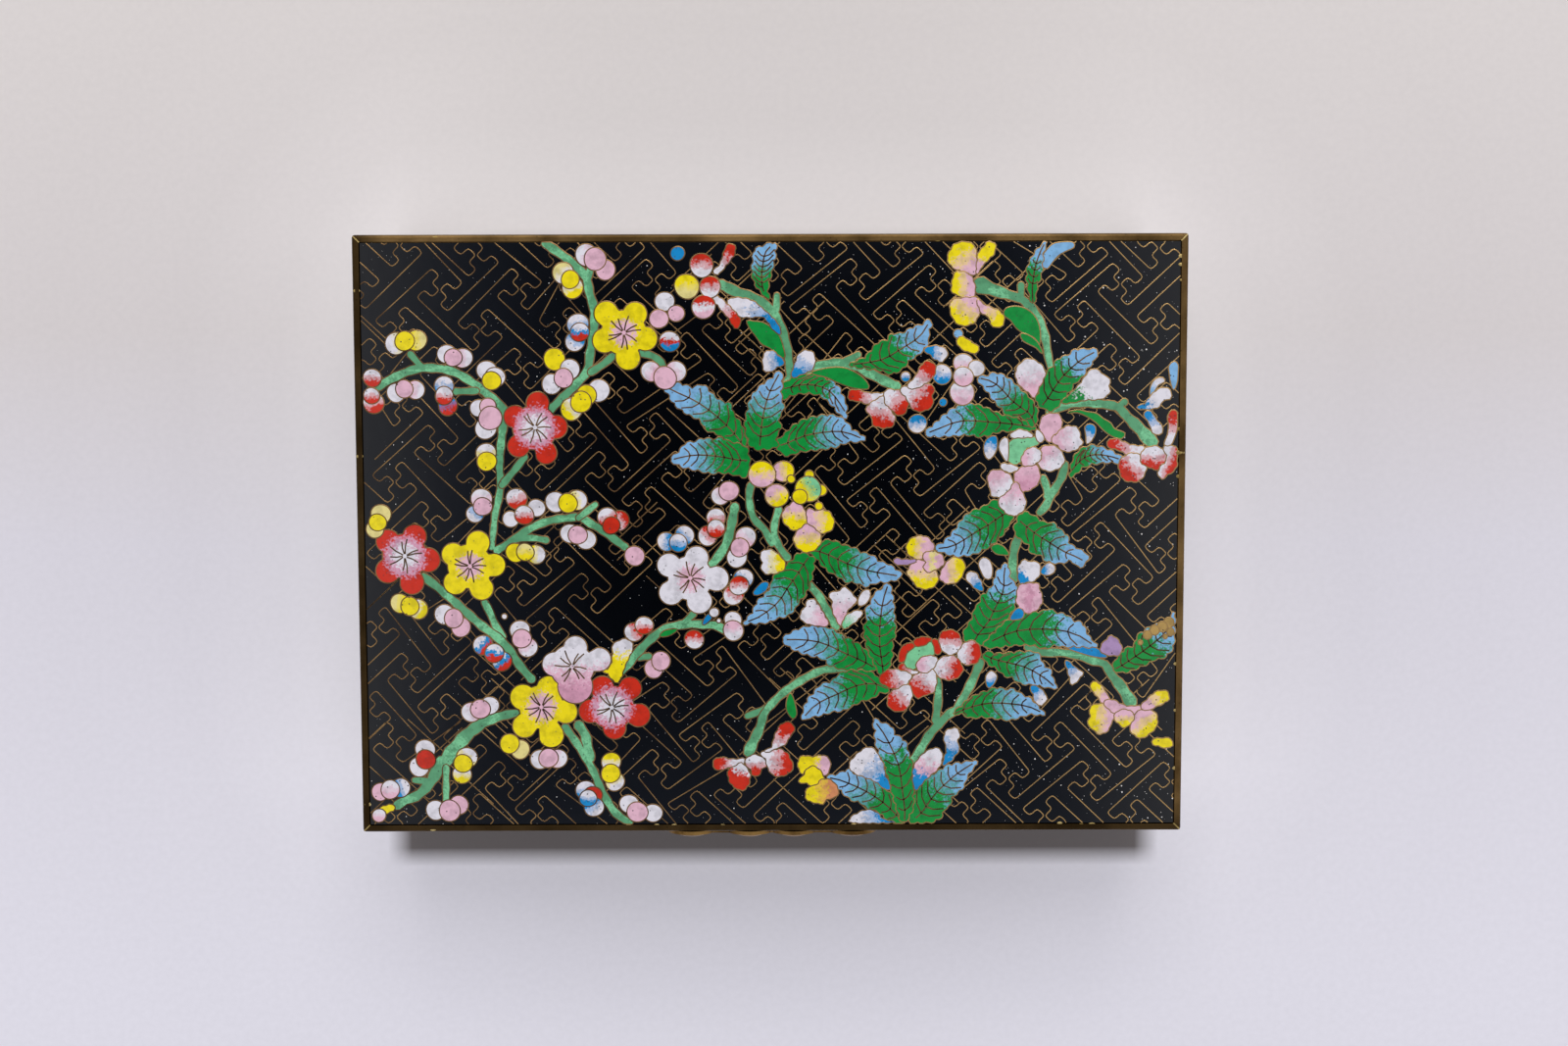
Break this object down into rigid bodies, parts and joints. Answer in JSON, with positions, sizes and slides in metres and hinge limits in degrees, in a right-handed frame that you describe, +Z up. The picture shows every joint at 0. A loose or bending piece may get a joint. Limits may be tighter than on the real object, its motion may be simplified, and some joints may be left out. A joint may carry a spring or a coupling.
{
  "type": "cloisonne enamel box",
  "caption": "Rectangular brass box with a lift-off lid, set with black cloisonne enamel panels of flowers on a fret ground, with a lobed finger lift.",
  "frame": {"origin": "middle of the whole box's plan, at the underside of the rim it stands on", "axes": "+Z up, +X along the long side to the right, -Y towards the front, which carries the finger lift"},
  "size_m": [0.14, 0.1034, 0.05],
  "materials": {
    "brass": "satin",
    "black_enamel": "gloss",
    "blue_enamel": "gloss"
  },
  "bodies": {
    "root": {"body_case": "brass", "lid_case": "brass", "finger_lift": "brass", "lid_top_enamel": "black_enamel", "lid_front_enamel": "black_enamel", "lid_back_enamel": "black_enamel", "lid_left_enamel": "black_enamel", "lid_right_enamel": "black_enamel", "body_front_enamel": "black_enamel", "body_back_enamel": "black_enamel", "body_left_enamel": "black_enamel", "body_right_enamel": "black_enamel", "base_enamel": "blue_enamel", "body_lining": "blue_enamel", "lid_lining": "blue_enamel"}
  },
  "joints": []
}
